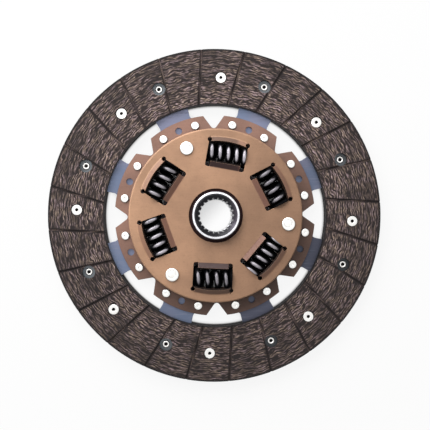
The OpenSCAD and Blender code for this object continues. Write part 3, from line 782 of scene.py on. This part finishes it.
class DISC_OT_springs(bpy.types.Operator):
    """Makes the six damper springs."""

    bl_idname = "disc.springs"
    bl_label = "Damper springs"

    def execute(self, context):
        sizes = context.scene.disc_springs
        enamel = spring_material("black_spring", context.scene.disc_finishes)
        middle = np.array([SPRING_CIRCLE, 0, SPRING_Z])
        for k, (degrees, painted_highlight_strength, turned_by) in enumerate(zip(WINDOW_ANGLES, SPRING_PAINTED_HIGHLIGHT, SPRING_TURNED), 1):
            close = k % 2 == 0
            turns = sizes.close_turns if close else sizes.wide_turns
            phase = (sizes.close_phase if close else sizes.wide_phase) + turned_by
            points, painted_crown_highlight = coil(
                turns, phase, sizes.outside, sizes.wire, WINDOW_LENGTH, sizes.sides, sizes.steps
            )
            # Painted highlight on the coils' crowns, its strength given per spring
            painted_crown_highlight = painted_highlight_strength * painted_crown_highlight**2 * (3 - 2 * painted_crown_highlight)
            if not close:
                painted_crown_highlight = painted_crown_highlight * (np.abs(points[..., 1]) < WIDE_CROWNS_REACH)
            a = math.radians(degrees)
            turn = np.array([[math.cos(a), -math.sin(a), 0], [math.sin(a), math.cos(a), 0], [0, 0, 1]])
            points = (points + middle) @ turn.T
            spring = grid_mesh(f"spring_{k}", [points], caps=(0,), shade=("painted_crown_highlight", painted_crown_highlight))
            spring.data.materials.append(enamel)
            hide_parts(f"damper_spring_{k}")
            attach(spring, "disc")
            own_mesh(spring)
        return {"FINISHED"}


class DISC_OT_rivets(bpy.types.Operator):
    """Makes the facing rivets and the cushion rivets."""

    bl_idname = "disc.rivets"
    bl_label = "Rivets"

    def execute(self, context):
        sizes = context.scene.disc_rivets
        bright = rivet_material("rivet", context.scene.disc_finishes)
        shape, painted_hole_shade = self.facing_profile(sizes)
        front = on_circle(RIVET_CIRCLE, FRONT_RIVETS_FROM + EIGHTHS)
        rear = on_circle(RIVET_CIRCLE, REAR_RIVETS_FROM + EIGHTHS)
        lobes = LOBES_FROM + EIGHTHS
        beside = np.concatenate([lobes - CUSHION_RIVETS_ASIDE, lobes + CUSHION_RIVETS_ASIDE])
        cushion = on_circle(CUSHION_RIVET_CIRCLE, beside)
        over = shape * [1, -1] + [0, FRONT_Z]
        for name, profile, centres, node, shade in (
            ("facing_rivets_front", shape, front, "front_facing_rivets", ("painted_hole_shade", painted_hole_shade[:, None])),
            ("facing_rivets_rear", over, rear, "rear_facing_rivets", ("painted_hole_shade", painted_hole_shade[:, None])),
            ("rivets_cushion", self.cushion_profile(sizes), cushion, "cushion_rivets", None),
        ):
            rivets = grid_mesh(name, [turned(profile, c, sizes.around) for c in centres], shade=shade)
            rivets.data.materials.append(bright)
            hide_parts(node)
            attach(rivets, "disc")
        return {"FINISHED"}

    def facing_profile(self, sizes):
        """Section of a facing rivet from its rolled tail to its head, and which points in its hole get
        painted shade.

        Each corner is (r, z, rounding) in millimetres, here and in the other profiles.
        """
        hole = sizes.facing_hole / 2 / MM
        head = sizes.facing_head / 2 / MM
        tail = sizes.facing_tail / 2 / MM
        rounded = (
            (0, 4.9, 0), (hole, 4.9, 0), (hole, 3.95, 0.2), (hole + 0.35, 3.6, 0.3), (tail - 0.3, 3.6, 0.4),
            (tail, 4.0, 0.3), (tail, 4.3, 0.05), (2, 4.3, 0), (2, 6.6, 0), (head, 6.6, 0.1),
            (head, 7.4, 0.38), (hole + 0.15, 7.4, 0.12), (hole, 7.15, 0.05), (hole, 7.05, 0),
            (hole, 6.1, 0.1), (0, 6.1, 0),
        )
        shape = softened(rounded)
        r, z = shape.T / MM
        return shape, (r < hole + 0.02) & (z < 7.1) & (z > 3.75)

    def cushion_profile(self, sizes):
        """Section of a cushion rivet from its lower head to its upper one, with a small dimple."""
        head = sizes.cushion_head / 2 / MM
        rounded = (
            (0, 2.5, 0), (head, 2.5, 0.6), (head, 3.5, 0.1), (1.6, 3.5, 0), (1.6, 6.3, 0),
            (head, 6.3, 0.1), (head, 7.3, 0.7), (0.9, 7.3, 0.2), (0.5, 7.12, 0.2), (0, 7.1, 0),
        )
        return softened(rounded)


class DISC_OT_pins(bpy.types.Operator):
    """Makes the three stop pins."""

    bl_idname = "disc.pins"
    bl_label = "Stop pins"

    def execute(self, context):
        sizes = context.scene.disc_rivets
        bright = rivet_material("stop_pin", context.scene.disc_finishes, 0.97)
        shape = self.profile(sizes.pin_head / 2 / MM)
        for k, centre in enumerate(on_circle(PIN_CIRCLE, PIN_ANGLES), 1):
            pin = grid_mesh(f"pin_{k}", [turned(shape, centre, sizes.around)])
            pin.data.materials.append(bright)
            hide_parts(f"stop_pin_{k}")
            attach(pin, "disc")
        return {"FINISHED"}

    def profile(self, head):
        """Section of a stop pin: a thick middle, a neck in each plate, and a head with a ring groove."""
        top = [
            (3.5, 14.3, 0), (3.5, 16.3, 0), (head, 16.3, 0.05), (head, 17.5, 0.8), (2.9, 17.5, 0.25),
            (2.5, 17.2, 0.25), (2.1, 17.5, 0.25), (0, 17.5, 0),
        ]
        middle = [(5, 6.3, 0), (5, 14.3, 0)]
        bottom = [(r, PIN_HEIGHTS_ADDED - z, radius) for r, z, radius in reversed(top)]
        return softened(bottom + middle + top)


class DISC_OT_studio(bpy.types.Operator):
    """Makes the floor, the lamps, the plain world and the camera."""

    bl_idname = "disc.studio"
    bl_label = "Studio"

    def execute(self, context):
        studio = context.scene.disc_studio
        self.floor()
        self.lamps(studio)
        self.world(studio)
        self.camera(studio)
        context.scene.view_settings.view_transform = "Standard"
        return {"FINISHED"}

    def floor(self):
        side = 6.0
        corners = [(-side, -side, 0), (side, -side, 0), (side, side, 0), (-side, side, 0)]
        mesh = bpy.data.meshes.new("floor")
        mesh.from_pydata(corners, [], [(0, 1, 2, 3)])
        mesh.materials.append(floor_material("pale_floor"))
        floor = bpy.data.objects.new("floor", mesh)
        bpy.context.scene.collection.objects.link(floor)

    def lamps(self, studio):
        for name, watts, size, place in (
            ("key_lamp", studio.key_watts, 1.3, (-0.56, 0.78, 0.52)),
            ("spark_lamp", studio.spark_watts, 0.3, (-0.05, 0.15, 0.95)),
            ("side_lamp", studio.side_watts, 0.6, (0.3, 0.85, 0.5)),
        ):
            data = bpy.data.lights.new(name, "AREA")
            data.shape = "SQUARE"
            data.size = size
            data.energy = watts
            lamp = bpy.data.objects.new(name, data)
            lamp.location = place
            lamp.rotation_euler = (-Vector(place)).to_track_quat("-Z", "Y").to_euler()
            bpy.context.scene.collection.objects.link(lamp)

    def world(self, studio):
        world = bpy.data.worlds.new("plain_white")
        bpy.context.scene.world = world
        world.use_nodes = True
        tree = world.node_tree
        tree.nodes.clear()
        rays = tree.nodes.new("ShaderNodeLightPath").outputs
        seen = tree.nodes.new("ShaderNodeMath")
        seen.operation = "MAXIMUM"
        tree.links.new(rays["Is Camera Ray"], seen.inputs[0])
        tree.links.new(rays["Is Glossy Ray"], seen.inputs[1])
        either = tree.nodes.new("ShaderNodeMath")
        either.operation = "MAXIMUM"
        tree.links.new(seen.outputs[0], either.inputs[0])
        tree.links.new(rays["Is Transmission Ray"], either.inputs[1])
        strength = tree.nodes.new("ShaderNodeMapRange")
        strength.inputs[3].default_value = studio.fill
        strength.inputs[4].default_value = 1.0
        tree.links.new(either.outputs[0], strength.inputs[0])
        background = tree.nodes.new("ShaderNodeBackground")
        background.inputs["Color"].default_value = (1, 1, 1, 1)
        tree.links.new(strength.outputs[0], background.inputs["Strength"])
        output = tree.nodes.new("ShaderNodeOutputWorld")
        tree.links.new(background.outputs[0], output.inputs["Surface"])

    def camera(self, studio):
        data = bpy.data.cameras.new("camera")
        data.angle = studio.field
        camera = bpy.data.objects.new("camera", data)
        bpy.context.scene.collection.objects.link(camera)
        aim = Vector((studio.aim_x, studio.aim_y, FRONT_Z))
        back = Vector((-math.tan(studio.tilt_left), math.tan(studio.tilt_up), 1)).normalized()
        up = Vector((math.sin(studio.roll), math.cos(studio.roll), 0))
        right = up.cross(back).normalized()
        up = back.cross(right)
        turn = Matrix((right, up, back)).transposed().to_4x4()
        camera.matrix_world = Matrix.Translation(aim + back * studio.distance) @ turn
        data.clip_start = 0.01
        data.clip_end = 50
        bpy.context.scene.camera = camera


class DISC_PT_looks(bpy.types.Panel):
    """Lists the pieces in the sidebar."""

    bl_idname = "DISC_PT_looks"
    bl_label = "Clutch disc"
    bl_space_type = "VIEW_3D"
    bl_region_type = "UI"
    bl_category = "Clutch disc"

    def draw(self, context):
        for operator in OPERATORS:
            self.layout.operator(operator.bl_idname)
        for name in GROUPS:
            box = self.layout.box()
            group = getattr(context.scene, name)
            for key in group.__annotations__:
                box.prop(group, key)


GROUPS = {
    "disc_springs": DISC_PG_springs,
    "disc_rivets": DISC_PG_rivets,
    "disc_finishes": DISC_PG_finishes,
    "disc_studio": DISC_PG_studio,
}
OPERATORS = (
    DISC_OT_facings,
    DISC_OT_plates,
    DISC_OT_cushions,
    DISC_OT_hub,
    DISC_OT_springs,
    DISC_OT_rivets,
    DISC_OT_pins,
    DISC_OT_studio,
)


def register():
    for kind in (*GROUPS.values(), *OPERATORS, DISC_PT_looks):
        bpy.utils.register_class(kind)
    for name, kind in GROUPS.items():
        setattr(bpy.types.Scene, name, PointerProperty(type=kind))


def unregister():
    for name in GROUPS:
        delattr(bpy.types.Scene, name)
    for kind in (DISC_PT_looks, *reversed(OPERATORS), *reversed(GROUPS.values())):
        bpy.utils.unregister_class(kind)


def main():
    """Registers the add-on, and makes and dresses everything."""
    register()
    bpy.ops.disc.facings()
    bpy.ops.disc.plates()
    bpy.ops.disc.cushions()
    bpy.ops.disc.hub()
    bpy.ops.disc.springs()
    bpy.ops.disc.rivets()
    bpy.ops.disc.pins()
    bpy.ops.disc.studio()
    bpy.context.view_layer.update()


if __name__ == "__main__":
    main()
